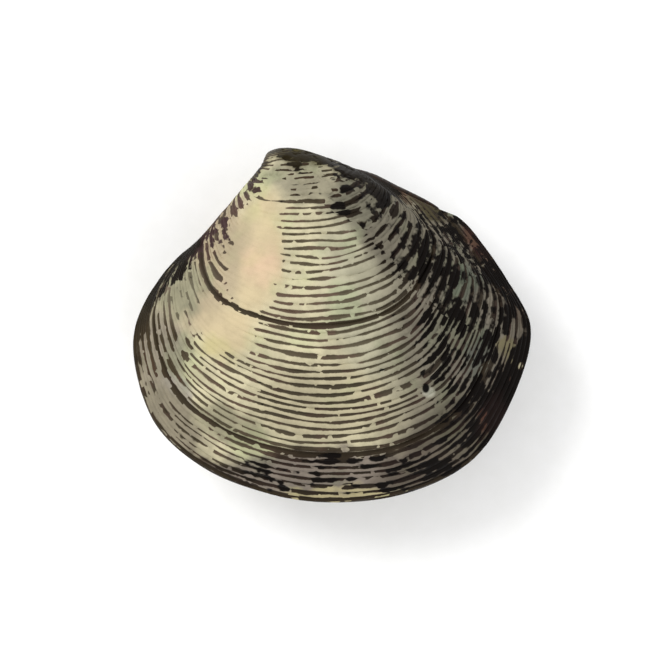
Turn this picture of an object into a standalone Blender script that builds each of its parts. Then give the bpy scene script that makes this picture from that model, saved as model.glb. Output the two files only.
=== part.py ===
"""A closed clam shell of the Gouldia kind, lying on its right valve with the left valve up.

Each valve is the track of its own margin: going back in age, the margin shrinks towards the
hinge point and turns about the hinge axis, which makes the inflated cap, the concentric ribs
and the beak in one rule. The right valve is the left one mirrored, with a small flat spot worn
where the shell rests. A dark ligament bead joins the two valves behind the beaks.

Shell frame while modelling, from the hinge point: +X to the rear end, +Y to the back, +Z to
the left valve. The finished shell stands on Z = 0, centred in X and Y.
"""

import math

import bmesh
import bpy
from mathutils import Vector
from mathutils.bvhtree import BVHTree

# Shell margin, in metres from the hinge point: 20 mm from front end to rear end.
HINGE_MARGIN = (0.0000, -0.0009)
LUNULE_MIDDLE = (-0.0023, -0.00275)
LUNULE_END = (-0.0047, -0.0037)
FRONT_SHOULDER = (-0.0065, -0.00515)
FRONT_UPPER = (-0.0081, -0.00765)
FRONT_END = (-0.0084, -0.0095)
FRONT_LOWER = (-0.0073, -0.0131)
FRONT_BELLY = (-0.0049, -0.0153)
BELLY_FRONT = (-0.0020, -0.0165)
BELLY_LOWEST = (0.0012, -0.01705)
BELLY_REAR = (0.0053, -0.0166)
REAR_BELLY = (0.00865, -0.0149)
REAR_LOWER = (0.01065, -0.0118)
REAR_END = (0.01155, -0.00835)
REAR_UPPER = (0.0105, -0.00615)
REAR_SHOULDER = (0.0081, -0.0029)
LIGAMENT_END = (0.0072, -0.0025)
LIGAMENT_REAR = (0.0050, -0.00175)
LIGAMENT_FRONT = (0.0027, -0.00085)
MARGIN = (
    HINGE_MARGIN,
    LUNULE_MIDDLE,
    LUNULE_END,
    FRONT_SHOULDER,
    FRONT_UPPER,
    FRONT_END,
    FRONT_LOWER,
    FRONT_BELLY,
    BELLY_FRONT,
    BELLY_LOWEST,
    BELLY_REAR,
    REAR_BELLY,
    REAR_LOWER,
    REAR_END,
    REAR_UPPER,
    REAR_SHOULDER,
    LIGAMENT_END,
    LIGAMENT_REAR,
    LIGAMENT_FRONT,
)
SPAN_STEPS = 12  # points that the smooth curve gets between two landmarks
COLUMNS = 24
CORNER_SHARE = 0.004  # a radian of bend draws as many columns as this much length

# Growth, as size against the full-grown margin.
HINGE_TILT = math.radians(3.4)
EARLY_COIL = 0.656  # radians of turn for each e-fold of shrinking
LATE_COIL = 0.572  # extra turn, in radians, spread evenly over the growth
INFLATION = 0.92
BEAK_LEAN = 0.0013  # how far the beak leans to the front
BEAK_LEAN_SIZE = 0.155
BEAK_TIP_SIZE = 0.035
BEAK_RINGS = 8

# Ribs: the growth lines count up to the margin, and size grows with their square.
MARGIN_LINE = 84
FIRST_RIB_LINE = 42
RIB_HEIGHT = 0.00010
GROWTH_STOPS = {64: 0.00008, 79: 0.00010}  # line: how deep its groove is

# Wall and hollow.
VALVE_GAP = 0.0002  # between the two margins, and between ligament and valves
RIM_WIDTH = 0.0010
HINGE_PLATE_WIDTH = 0.0024
HINGE_PLATE_REACH = 0.0060
WALL = 0.0009
HOLLOW_CENTRE = (0.0014, -0.0088)
HOLLOW_RINGS = (0.93, 0.80, 0.62, 0.42, 0.21)

# Resting spot and ligament.
SPOT_DEPTH = 0.00022
LIGAMENT_START_X = 0.0006
LIGAMENT_END_X = 0.0069
LIGAMENT_HALF_WIDTH = 0.00060
LIGAMENT_HALF_HEIGHT = 0.00026
LIGAMENT_STATIONS = 14
LIGAMENT_SIDES = 10
LIGAMENT_TAPER = 0.4  # radius at its two ends, as a share of the middle's
SHOULDER_REACH = 0.001  # the valves' shoulders beside the ligament stand no higher than this

SHELL_COLOUR = (0.47, 0.42, 0.29, 1)
LIGAMENT_COLOUR = (0.06, 0.035, 0.02, 1)


def clear_scene():
    for obj in list(bpy.data.objects):
        bpy.data.objects.remove(obj, do_unlink=True)


def collection(name):
    made = bpy.data.collections.new(name)
    bpy.context.scene.collection.children.link(made)
    return made


def material(name, colour, roughness):
    made = bpy.data.materials.new(name)
    made.use_nodes = True
    shader = made.node_tree.nodes["Principled BSDF"]
    shader.inputs["Base Color"].default_value = colour
    shader.inputs["Roughness"].default_value = roughness
    shader.inputs["Metallic"].default_value = 0
    return made


def smooth_loop(landmarks, steps):
    """Closed centripetal Catmull-Rom curve through the landmarks."""
    points = [Vector(p) for p in landmarks]
    count = len(points)
    loop = []
    for i in range(count):
        p0, p1, p2, p3 = (points[(i + k) % count] for k in (-1, 0, 1, 2))
        t0 = 0.0
        t1 = t0 + math.sqrt((p1 - p0).length)
        t2 = t1 + math.sqrt((p2 - p1).length)
        t3 = t2 + math.sqrt((p3 - p2).length)
        for k in range(steps):
            t = t1 + (t2 - t1) * k / steps
            a1 = p0.lerp(p1, (t - t0) / (t1 - t0))
            a2 = p1.lerp(p2, (t - t1) / (t2 - t1))
            a3 = p2.lerp(p3, (t - t2) / (t3 - t2))
            b1 = a1.lerp(a2, (t - t0) / (t2 - t0))
            b2 = a2.lerp(a3, (t - t1) / (t3 - t1))
            loop.append(b1.lerp(b2, (t - t1) / (t2 - t1)))
    return loop


def columns_of(loop):
    """The closed loop read at equal steps of its length, with shorter steps where it bends."""
    count = len(loop)
    travel = [0.0]
    for i in range(count):
        before = loop[i] - loop[i - 1]
        after = loop[(i + 1) % count] - loop[i]
        travel.append(travel[-1] + after.length + CORNER_SHARE * before.angle(after))
    read = []
    at = 0
    for k in range(COLUMNS):
        wanted = travel[-1] * k / COLUMNS
        while travel[at + 1] < wanted:
            at += 1
        share = (wanted - travel[at]) / (travel[at + 1] - travel[at])
        read.append(loop[at].lerp(loop[(at + 1) % count], share))
    return read


def growth_size(line):
    return (line / MARGIN_LINE) ** 2


def ring_at(margin, size):
    """The margin as it lay when the shell had this share of its size."""
    turn = LATE_COIL * (1 - size) - EARLY_COIL * math.log(size)
    along = Vector((math.cos(HINGE_TILT), math.sin(HINGE_TILT)))
    down = Vector((along.y, -along.x))
    lean = BEAK_LEAN * math.exp(-((size / BEAK_LEAN_SIZE) ** 2))
    ring = []
    for point in margin:
        reach = size * point.dot(down)
        flat = along * (size * point.dot(along) - lean) + down * (reach * math.cos(turn))
        ring.append(Vector((flat.x, flat.y, INFLATION * reach * math.sin(turn))))
    return ring


def rib_relief(line):
    """Height of the surface over the smooth valve at a growth line: 0 in a groove."""
    return RIB_HEIGHT if line != int(line) else -GROWTH_STOPS.get(int(line), 0.0)


def outer_lines():
    """Growth lines of the outer face from margin to beak tip: grooves, rib crests, beak."""
    ribbed = [MARGIN_LINE - k / 2 for k in range(2 * (MARGIN_LINE - FIRST_RIB_LINE) + 1)]
    tip = MARGIN_LINE * math.sqrt(BEAK_TIP_SIZE)
    step = (FIRST_RIB_LINE - tip) / BEAK_RINGS
    return ribbed + [FIRST_RIB_LINE - step * (k + 1) for k in range(BEAK_RINGS)]


def ribbed_rings(margin):
    """Outer rings with the ribs raised along the surface, lower where lines crowd together."""
    lines = outer_lines()
    rings = [ring_at(margin, growth_size(line)) for line in lines]
    reach = max(point.length for point in margin)
    raised = [rings[0]]
    for i in range(1, len(rings) - 1):
        relief = rib_relief(lines[i]) if lines[i] >= FIRST_RIB_LINE else 0.0
        ring = []
        for j, point in enumerate(rings[i]):
            across = rings[i][(j + 1) % COLUMNS] - rings[i][j - 1]
            upward = rings[i + 1][j] - rings[i - 1][j]
            normal = across.cross(upward).normalized()
            ring.append(point + normal * (relief * margin[j].length / reach))
        raised.append(ring)
    raised.append(rings[-1])
    return raised


def tree_of(rings):
    """Search tree of the surface through rings, for casting rays at it."""
    points = [point for ring in rings for point in ring]
    width = len(rings[0])
    faces = []
    for i in range(len(rings) - 1):
        for j in range(width):
            k = (j + 1) % width
            faces.append((i * width + j, i * width + k, (i + 1) * width + k, (i + 1) * width + j))
    return BVHTree.FromPolygons(points, faces)


def hollow_rings(margin, outer):
    """The rim's inner edge, and rings of the hollow one wall under the outer face."""
    centre = Vector(HOLLOW_CENTRE)
    inset = []
    for point in margin:
        near = max(0.0, 1 - point.length / HINGE_PLATE_REACH)
        width = RIM_WIDTH + (HINGE_PLATE_WIDTH - RIM_WIDTH) * near
        inset.append(point + (centre - point).normalized() * width)
    tree = tree_of(outer)
    rings = [[Vector((point.x, point.y, 0)) for point in inset]]
    for share in HOLLOW_RINGS:
        ring = []
        for point in inset:
            flat = centre.lerp(point, share)
            ring.append(Vector((flat.x, flat.y, ceiling(tree, flat))))
        rings.append(ring)
    deepest = Vector((centre.x, centre.y, ceiling(tree, centre)))
    return rings, deepest


def ceiling(tree, flat):
    """Height of the hollow over a point of the margin's plane."""
    hit = tree.ray_cast(Vector((flat.x, flat.y, 0)), Vector((0, 0, 1)))[0]
    return max(hit.z - WALL, 0.0)


def add_ring(mesh, ring, side):
    lift = VALVE_GAP / 2
    return [mesh.verts.new((p.x, p.y, side * (p.z + lift))) for p in ring]


def bridge(mesh, first, second):
    width = len(first)
    for j in range(width):
        k = (j + 1) % width
        mesh.faces.new((first[j], first[k], second[k], second[j]))


def object_of(mesh, name, skin, into, parent):
    """Closes a bmesh into a named object that is shaded smooth where it is round."""
    bmesh.ops.recalc_face_normals(mesh, faces=mesh.faces)
    data = bpy.data.meshes.new(name)
    mesh.to_mesh(data)
    mesh.free()
    data.shade_smooth()
    data.set_sharp_from_angle(angle=math.radians(35))
    data.materials.append(skin)
    made = bpy.data.objects.new(name, data)
    made.parent = parent
    into.objects.link(made)
    return made


def build_valve(name, side, margin, skin, into, parent):
    outer = ribbed_rings(margin)
    hollow, deepest = hollow_rings(margin, outer)
    mesh = bmesh.new()
    rings = [add_ring(mesh, ring, side) for ring in outer]
    inner = [add_ring(mesh, ring, side) for ring in hollow]
    for first, second in zip(rings, rings[1:]):
        bridge(mesh, first, second)
    mesh.faces.new(rings[-1])
    bridge(mesh, rings[0], inner[0])
    for first, second in zip(inner, inner[1:]):
        bridge(mesh, first, second)
    bottom = add_ring(mesh, [deepest], side)[0]
    for j in range(COLUMNS):
        mesh.faces.new((inner[-1][j], inner[-1][(j + 1) % COLUMNS], bottom))
    return object_of(mesh, name, skin, into, parent)


def seat_height(tree, foot, outward, swell):
    """How far the ligament's middle stands off the seam, to clear both valves' shoulders."""
    needed = LIGAMENT_HALF_HEIGHT * swell
    for k in range(LIGAMENT_SIDES):
        turn = math.pi / 2 * k / LIGAMENT_SIDES
        above = foot + Vector((0, 0, LIGAMENT_HALF_WIDTH * swell * math.sin(turn)))
        hit = tree.ray_cast(above + outward * SHOULDER_REACH, -outward)[0]
        if hit:
            lower_side = LIGAMENT_HALF_HEIGHT * swell * math.cos(turn)
            needed = max(needed, (hit - above).dot(outward) + lower_side)
    return needed + VALVE_GAP


def ligament_section(guides, parent):
    """Closed oval that the ligament's path is swept with."""
    oval = bpy.data.curves.new("ligament_section", "CURVE")
    spline = oval.splines.new("POLY")
    spline.points.add(LIGAMENT_SIDES - 1)
    for k, point in enumerate(spline.points):
        turn = 2 * math.pi * k / LIGAMENT_SIDES
        across = LIGAMENT_HALF_HEIGHT * math.sin(turn)
        point.co = (across, LIGAMENT_HALF_WIDTH * math.cos(turn), 0, 1)
    spline.use_cyclic_u = True
    section = bpy.data.objects.new("ligament_section", oval)
    section.parent = parent
    section.hide_render = True
    section.display_type = "WIRE"
    guides.objects.link(section)
    return section


def build_ligament(margin, skin, into, guides, parent):
    """A low bead over the seam behind the beaks, thick in the middle and thin at both ends."""
    lift = Vector((0, 0, VALVE_GAP / 2))
    tree = tree_of([[p + lift for p in ring] for ring in ribbed_rings(margin)])
    back = [p for p in smooth_loop(MARGIN, SPAN_STEPS) if p.x > 0 and p.y > FRONT_SHOULDER[1]]
    back.sort(key=lambda p: p.x)
    curve = bpy.data.curves.new("ligament", "CURVE")
    curve.dimensions = "3D"
    curve.twist_mode = "Z_UP"
    curve.bevel_mode = "OBJECT"
    curve.bevel_object = ligament_section(guides, parent)
    curve.use_fill_caps = True
    curve.materials.append(skin)
    spline = curve.splines.new("POLY")
    spline.points.add(LIGAMENT_STATIONS - 1)
    for k, point in enumerate(spline.points):
        share = k / (LIGAMENT_STATIONS - 1)
        x = LIGAMENT_START_X + (LIGAMENT_END_X - LIGAMENT_START_X) * share
        ahead = next(i for i, p in enumerate(back) if p.x >= x)
        start, end = back[ahead - 1], back[ahead]
        foot = start.lerp(end, (x - start.x) / (end.x - start.x)).to_3d()
        along = (end - start).normalized()
        outward = Vector((-along.y, along.x, 0))
        swell = LIGAMENT_TAPER + (1 - LIGAMENT_TAPER) * math.sqrt(math.sin(math.pi * share))
        place = foot + outward * seat_height(tree, foot, outward, swell)
        point.co = (*place, 1)
        point.radius = swell
    ligament = bpy.data.objects.new("ligament", curve)
    ligament.parent = parent
    into.objects.link(ligament)
    return ligament


def wear_spot(valve, cutters, parent):
    """Cuts the right valve's most inflated place flat, and returns that plane's height."""
    plane = min(v.co.z for v in valve.data.vertices) + SPOT_DEPTH
    width = REAR_END[0] - FRONT_END[0]
    mesh = bmesh.new()
    bmesh.ops.create_cube(mesh, size=width)
    data = bpy.data.meshes.new("floor_cutter")
    mesh.to_mesh(data)
    mesh.free()
    cutter = bpy.data.objects.new("floor_cutter", data)
    cutter.location = (HOLLOW_CENTRE[0], HOLLOW_CENTRE[1], plane - width / 2)
    cutter.parent = parent
    cutter.hide_render = True
    cutter.display_type = "WIRE"
    cutters.objects.link(cutter)
    cut = valve.modifiers.new("resting_spot", "BOOLEAN")
    cut.operation = "DIFFERENCE"
    cut.object = cutter
    return plane


def main():
    clear_scene()
    parts = collection("gouldia_shell")
    cutters = collection("cutters")
    hinge = bpy.data.objects.new("hinge_point", None)
    parts.objects.link(hinge)
    shell = material("shell", SHELL_COLOUR, 0.55)
    horn = material("ligament", LIGAMENT_COLOUR, 0.45)
    margin = columns_of(smooth_loop(MARGIN, SPAN_STEPS))
    left = build_valve("left_valve", 1, margin, shell, parts, hinge)
    right = build_valve("right_valve", -1, margin, shell, parts, hinge)
    build_ligament(margin, horn, parts, cutters, hinge)
    floor = wear_spot(right, cutters, hinge)
    xs = [v.co.x for v in left.data.vertices]
    ys = [v.co.y for v in left.data.vertices]
    hinge.location = (-(min(xs) + max(xs)) / 2, -(min(ys) + max(ys)) / 2, -floor)


main()
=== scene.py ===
import math

import bmesh
import bpy
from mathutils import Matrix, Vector
from mathutils.bvhtree import BVHTree


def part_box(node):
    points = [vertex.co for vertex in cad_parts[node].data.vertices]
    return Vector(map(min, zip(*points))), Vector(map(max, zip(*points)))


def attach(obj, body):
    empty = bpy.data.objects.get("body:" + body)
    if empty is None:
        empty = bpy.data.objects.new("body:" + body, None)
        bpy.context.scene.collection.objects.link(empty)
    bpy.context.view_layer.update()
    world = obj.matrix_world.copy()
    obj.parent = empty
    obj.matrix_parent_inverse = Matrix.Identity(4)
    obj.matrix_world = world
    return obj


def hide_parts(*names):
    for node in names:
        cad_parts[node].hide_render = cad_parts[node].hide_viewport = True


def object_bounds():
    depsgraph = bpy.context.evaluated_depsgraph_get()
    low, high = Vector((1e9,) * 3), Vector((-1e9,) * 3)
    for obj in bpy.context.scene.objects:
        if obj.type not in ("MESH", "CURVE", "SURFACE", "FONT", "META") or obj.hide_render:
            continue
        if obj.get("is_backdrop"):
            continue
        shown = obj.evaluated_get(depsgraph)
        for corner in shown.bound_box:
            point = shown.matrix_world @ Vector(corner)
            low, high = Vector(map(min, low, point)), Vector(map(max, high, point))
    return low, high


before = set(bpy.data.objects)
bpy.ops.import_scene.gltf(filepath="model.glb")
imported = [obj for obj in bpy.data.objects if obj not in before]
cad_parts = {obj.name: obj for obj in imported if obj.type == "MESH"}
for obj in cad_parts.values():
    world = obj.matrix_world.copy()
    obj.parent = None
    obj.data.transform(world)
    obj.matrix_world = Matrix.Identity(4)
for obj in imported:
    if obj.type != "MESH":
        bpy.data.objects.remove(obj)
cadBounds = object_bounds()
print("frame loaded:", sorted(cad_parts))

mm = 0.001
tau = 2 * math.pi


# Node helpers, for shader and geometry trees alike

def feed(tree, socket, value):
    # a link where the value comes from a node, else the socket's own value
    if isinstance(value, bpy.types.NodeSocket):
        tree.links.new(value, socket)
    else:
        socket.default_value = value


def place(tree, kind, inputs=None, **settings):
    # a new node, its inputs given by name or number
    node = tree.nodes.new(kind)
    for name, value in settings.items():
        setattr(node, name, value)
    for name, value in (inputs or {}).items():
        feed(tree, node.inputs[name], value)
    return node


def calc(tree, operation, *values):
    return place(tree, "ShaderNodeMath", dict(enumerate(values)), operation=operation).outputs[0]


def plus(tree, a, b):
    return calc(tree, "ADD", a, b)


def minus(tree, a, b):
    return calc(tree, "SUBTRACT", a, b)


def times(tree, a, b):
    return calc(tree, "MULTIPLY", a, b)


def over(tree, a, b):
    return calc(tree, "DIVIDE", a, b)


def timesPlus(tree, a, b, c):
    # a times b, plus c
    return calc(tree, "MULTIPLY_ADD", a, b, c)


def vector(tree, operation, *values):
    node = place(tree, "ShaderNodeVectorMath", dict(enumerate(values)), operation=operation)
    return node.outputs["Value" if operation in ("DOT_PRODUCT", "LENGTH") else "Vector"]


def scaled(tree, value, factor):
    given = {"Vector": value, "Scale": factor}
    return place(tree, "ShaderNodeVectorMath", given, operation="SCALE").outputs["Vector"]


def joined(tree, x, y, z):
    return place(tree, "ShaderNodeCombineXYZ", {0: x, 1: y, 2: z}).outputs[0]


def split(tree, value):
    return place(tree, "ShaderNodeSeparateXYZ", {0: value}).outputs


def ramp(tree, value, start, end, low=0.0, high=1.0):
    # eased from low to high while value goes from start to end
    given = {"Value": value, "From Min": start, "From Max": end, "To Min": low, "To Max": high}
    return place(tree, "ShaderNodeMapRange", given, interpolation_type="SMOOTHSTEP").outputs["Result"]


def noise(tree, where, scale, detail=2.0, roughness=0.5, w=None):
    given = {"Vector": where, "Scale": scale, "Detail": detail, "Roughness": roughness}
    if w is None:
        return place(tree, "ShaderNodeTexNoise", given, noise_dimensions="3D").outputs[0]
    return place(tree, "ShaderNodeTexNoise", {**given, "W": w}, noise_dimensions="4D").outputs[0]


noiseRange = (0.3, 0.7)  # a noise mostly keeps between these


def swing(tree, value, amount):
    # noise about zero, as far as amount to each side
    return times(tree, minus(tree, value, 0.5), 2 * amount)


def bell(tree, value, centre, width):
    # 1 at the centre, falling off on both sides
    off = over(tree, minus(tree, value, centre), width)
    return calc(tree, "EXPONENT", times(tree, times(tree, off, off), -1.0))


socketKinds = {"RGBA": "RGBA", "VECTOR": "VECTOR", "FLOAT": "VALUE"}


def mixed(tree, factor, a, b, data="RGBA", blending="MIX"):
    # a where the factor is 0, b where it is 1
    node = place(tree, "ShaderNodeMix", {"Factor": factor}, data_type=data, blend_type=blending)
    ends = [s for s in node.inputs if s.type == socketKinds[data] and s.name in ("A", "B")]
    feed(tree, ends[0], a)
    feed(tree, ends[1], b)
    return next(s for s in node.outputs if s.type == socketKinds[data])


patchCore = 0.45  # share of a soft patch that is full, unless it says otherwise
patchHeight = 1000  # mm, so that a patch goes right through the shell


def softPatch(tree, spot, patch):
    # 1 inside a turned oval, easing to 0 at its edge; in mm from the hinge point
    away = vector(tree, "SUBTRACT", spot, (*patch["centre"], 0))
    given = {"Vector": away, "Angle": -math.radians(patch.get("turn", 0))}
    turned = place(tree, "ShaderNodeVectorRotate", given, rotation_type="Z_AXIS").outputs[0]
    far = vector(tree, "LENGTH", vector(tree, "DIVIDE", turned, (*patch["size"], patchHeight)))
    return ramp(tree, far, 1.0, patch.get("core", patchCore))


def strayed(tree, spot, scale, amount):
    # the spot moved about at random, so that what is drawn from it gets uneven edges
    node = place(tree, "ShaderNodeTexNoise", {"Vector": spot, "Scale": scale, "Detail": 3})
    shift = vector(tree, "SUBTRACT", node.outputs["Color"], (0.5, 0.5, 0.5))
    return vector(tree, "ADD", spot, scaled(tree, shift, 2 * amount))


def groupInput(tree, sockets):
    # named inputs, and the node that gives them
    for name, kind in sockets.items():
        tree.interface.new_socket(name, in_out="INPUT", socket_type="NodeSocket" + kind)
    return place(tree, "NodeGroupInput").outputs


def modifierTree(name, sockets):
    tree = bpy.data.node_groups.new(name, "GeometryNodeTree")
    tree.is_modifier = True
    given = groupInput(tree, sockets)
    tree.interface.new_socket("Mesh", in_out="OUTPUT", socket_type="NodeSocketGeometry")
    return tree, given


def positionOf(tree):
    return place(tree, "GeometryNodeInputPosition").outputs[0]


def normalOf(tree):
    return place(tree, "GeometryNodeInputNormal").outputs[0]


def named(tree, name):
    node = place(tree, "GeometryNodeInputNamedAttribute", {"Name": name}, data_type="FLOAT")
    return node.outputs["Attribute"]


def captured(tree, geometry, **fields):
    # fields as they are on this geometry, kept for use after it changes
    node = place(tree, "GeometryNodeCaptureAttribute", {"Geometry": geometry})
    for name, field in fields.items():
        node.capture_items.new("VECTOR" if field.type == "VECTOR" else "FLOAT", name)
        feed(tree, node.inputs[name], field)
    return node.outputs["Geometry"], [node.outputs[name] for name in fields]


def stored(tree, geometry, **fields):
    # fields or plain numbers, written to the points for the materials
    for name, field in fields.items():
        given = {"Geometry": geometry, "Name": name, "Value": field}
        node = place(tree, "GeometryNodeStoreNamedAttribute", given, data_type="FLOAT", domain="POINT")
        geometry = node.outputs["Geometry"]
    return geometry


def moved(tree, geometry, position=None, offset=None):
    given = {"Geometry": geometry}
    if position is not None:
        given["Position"] = position
    if offset is not None:
        given["Offset"] = offset
    return place(tree, "GeometryNodeSetPosition", given).outputs[0]


def flipped(tree, geometry):
    return place(tree, "GeometryNodeFlipFaces", {0: geometry}).outputs[0]


weldWithin = 0.001 * mm


def welded(tree, geometry, selection=True):
    # points that lie on each other made one
    given = {"Geometry": geometry, "Selection": selection, "Distance": weldWithin}
    return place(tree, "GeometryNodeMergeByDistance", given).outputs[0]


def finished(tree, geometry, material):
    # shaded smooth, made real and given its material
    smooth = place(tree, "GeometryNodeSetShadeSmooth", {"Geometry": geometry}).outputs[0]
    real = place(tree, "GeometryNodeRealizeInstances", {0: smooth}).outputs[0]
    painted = place(tree, "GeometryNodeSetMaterial", {"Geometry": real, "Material": material}).outputs[0]
    place(tree, "NodeGroupOutput", {0: painted})


def linked(name, data):
    made = bpy.data.objects.new(name, data)
    bpy.context.scene.collection.objects.link(made)
    return made


def polyCurve(name, points, cyclic, radii=None):
    data = bpy.data.curves.new(name, "CURVE")
    data.dimensions = "3D"
    spline = data.splines.new("POLY")
    spline.points.add(len(points) - 1)
    for k, (point, given) in enumerate(zip(spline.points, points)):
        point.co = (*given, 1)
        if radii:
            point.radius = radii[k]
    spline.use_cyclic_u = cyclic
    return linked(name, data)


def meshFrom(source, tree, values, name, sharpAbove):
    # plain mesh object that the tree makes of the source, which is then removed
    modifier = source.modifiers.new(tree.name, "NODES")
    modifier.node_group = tree
    for item in tree.interface.items_tree:
        if item.item_type == "SOCKET" and item.in_out == "INPUT" and item.name in values:
            modifier[item.identifier] = values[item.name]
    bpy.context.view_layer.update()
    evaluated = source.evaluated_get(bpy.context.evaluated_depsgraph_get())
    data = bpy.data.meshes.new_from_object(evaluated)
    data.name = name
    data.set_sharp_from_angle(angle=math.radians(sharpAbove))
    bpy.data.objects.remove(source)
    return linked(name, data)


# The valves' margin, in mm from the hinge point: front to the left, back up
marginPoints = {
    "hinge": (0.0, -0.9),
    "lunuleMiddle": (-2.3, -2.75),
    "lunuleEnd": (-4.7, -3.7),
    "frontShoulder": (-6.5, -5.15),
    "frontUpper": (-8.1, -7.65),
    "frontEnd": (-8.4, -9.5),
    "frontLower": (-7.3, -13.1),
    "frontBelly": (-4.9, -15.3),
    "bellyFront": (-2.0, -16.5),
    "bellyLowest": (1.2, -17.05),
    "bellyRear": (5.3, -16.6),
    "rearBelly": (8.65, -14.9),
    "rearLower": (10.65, -11.8),
    "rearEnd": (11.55, -8.35),
    "rearUpper": (10.5, -6.15),
    "rearShoulder": (8.1, -2.9),
    "ligamentEnd": (7.2, -2.5),
    "ligamentRear": (5.0, -1.75),
    "ligamentFront": (2.7, -0.85),
}
spanSteps = 12  # points on the curve from one landmark to the next


def smoothLoop(landmarks, steps):
    # closed centripetal Catmull-Rom curve through the landmarks
    points = [Vector(p) for p in landmarks]
    count = len(points)
    loop = []
    for i in range(count):
        p0, p1, p2, p3 = (points[(i + k) % count] for k in (-1, 0, 1, 2))
        t0 = 0.0
        t1 = t0 + math.sqrt((p1 - p0).length)
        t2 = t1 + math.sqrt((p2 - p1).length)
        t3 = t2 + math.sqrt((p3 - p2).length)
        for k in range(steps):
            t = t1 + (t2 - t1) * k / steps
            a1 = p0.lerp(p1, (t - t0) / (t1 - t0))
            a2 = p1.lerp(p2, (t - t1) / (t2 - t1))
            a3 = p2.lerp(p3, (t - t2) / (t3 - t2))
            b1 = a1.lerp(a2, (t - t0) / (t2 - t0))
            b2 = a2.lerp(a3, (t - t1) / (t3 - t1))
            loop.append(b1.lerp(b2, (t - t1) / (t2 - t1)))
    return loop


marginLoop = smoothLoop(marginPoints.values(), spanSteps)
marginReach = max(p.length for p in marginLoop)

# The frame gives the plane between the valves and where the hinge point lies over it
cadGap = 0.2 * mm
backRise = 0.72 * mm  # the beak stands this far behind the hinge point
upperLow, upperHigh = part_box("left_valve")
loopMiddle = (min(p.x for p in marginLoop) + max(p.x for p in marginLoop)) / 2
hingePoint = Vector((
    (upperLow.x + upperHigh.x) / 2 - loopMiddle * mm,
    upperHigh.y - backRise,
    upperLow.z - cadGap / 2,
))


# Valves

valveShape = {
    "Columns": 240,
    "Rows": 372,
    "Hinge Tilt": math.radians(3.4),
    "Early Coil": 0.656,  # radians of turn for each e-fold of shrinking
    "Late Coil": 0.572,  # extra turn spread evenly over the growth
    "Inflation": 0.92,
    "Beak Lean": 1.3 * mm,
    "Beak Lean Size": 0.155,
    "Tip Size": 0.035,
    "Margin Line": 62.0,  # growth lines count up to the margin, evenly with size
    "First Rib Line": 13.0,
    "Rib Rows": 0.9,  # share of the rows that lie over the ribs
    "Rib Height": 0.10 * mm,
    "Line Wander": 0.7,  # how far a growth line strays, in lines
    "Pit Depth": 0.07 * mm,
    "Reach": marginReach * mm,
    "Seam": 0.02 * mm,
    "Seam Wave": 0.12 * mm,  # the valves' edges rise and fall together
    "Seam Wave Reach": 0.6 * mm,  # and what lies this near the seam goes with them
    "Rim Width": 1.0 * mm,
    "Hinge Plate": 2.4 * mm,
    "Hinge Plate Reach": 6.0 * mm,
    "Wall": 0.9 * mm,
    "Hollow Centre": Vector((1.4, -8.8, 0)) * mm,
    "Inner Rows": 12,
    "Hinge Point": hingePoint,
    "Floor": 0.0,
    "Rest Margin": 0.02 * mm,  # worn where it would come this near the floor
}
valveSockets = {  # the other inputs are plain numbers
    "Margin": "Geometry",
    "Columns": "Int",
    "Rows": "Int",
    "Inner Rows": "Int",
    "Hollow Centre": "Vector",
    "Hinge Point": "Vector",
    "Side": "Float",
    "Seed": "Float",
    "Skin": "Material",
}
relief = {  # of the outer face: heights in mm, noise scales per mm, places in growth lines
    "wanderScale": 0.16,
    "wanderPerLine": 0.4,
    "crestPower": 2.6,  # higher gives broader ribs with narrower grooves
    "ribsRise": (11.0, 22.0),
    "polishWear": 0.6,  # share of the ribs that is worn away
    "wearAndHighlightStrayScale": 0.8,  # its edge is ragged
    "wearAndHighlightStray": 0.9,
    "unevenScale": 0.8,
    "uneven": (0.65, 1.15),  # the ribs' share of their height, from place to place
    "pitScale": 1.7,
    "pitEdge": (0.52, 0.62),  # noise at a pit's edge, and where it is full
    "pitsFade": (24.0, 15.0),
    "overall": [dict(scale=0.35, detail=1.0, height=0.05), dict(scale=7.0, detail=2.0, height=0.006)],
    "seamWaveScale": 0.5,
}
growthStops = {36: dict(depth=0.10, width=0.42), 54: dict(depth=0.12, width=0.5)}  # by line: mm, and lines
lunuleAt = dict(share=0.115, width=0.004, depth=0.06)  # place and width round the margin, and mm
innerLine = 61.5  # growth line that the rim and the inside count as
wearAndHighlightPatches = [  # worn smooth, and pale under a painted highlight, in mm from the hinge point
    dict(centre=(-2.2, -4.6), size=(1.8, 4.2), turn=-10, core=0.5),
    dict(centre=(-3.8, -8.1), size=(2.5, 1.6), turn=-26),
]


def growthPoint(tree, given, point, size):
    # where a margin point lay when the shell had this share of its size
    lateTurn = times(tree, given["Late Coil"], minus(tree, 1.0, size))
    earlyTurn = times(tree, given["Early Coil"], calc(tree, "LOGARITHM", size, math.e))
    turn = minus(tree, lateTurn, earlyTurn)
    c = calc(tree, "COSINE", given["Hinge Tilt"])
    s = calc(tree, "SINE", given["Hinge Tilt"])
    along = joined(tree, c, s, 0.0)
    down = joined(tree, s, times(tree, c, -1.0), 0.0)
    lean = times(tree, given["Beak Lean"], bell(tree, size, 0.0, given["Beak Lean Size"]))
    lengthwise = minus(tree, times(tree, vector(tree, "DOT_PRODUCT", point, along), size), lean)
    reach = times(tree, vector(tree, "DOT_PRODUCT", point, down), size)
    height = times(tree, given["Inflation"], times(tree, reach, calc(tree, "SINE", turn)))
    outward = scaled(tree, down, times(tree, reach, calc(tree, "COSINE", turn)))
    flat = vector(tree, "ADD", scaled(tree, along, lengthwise), outward)
    return vector(tree, "ADD", flat, joined(tree, 0.0, 0.0, height))


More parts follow.
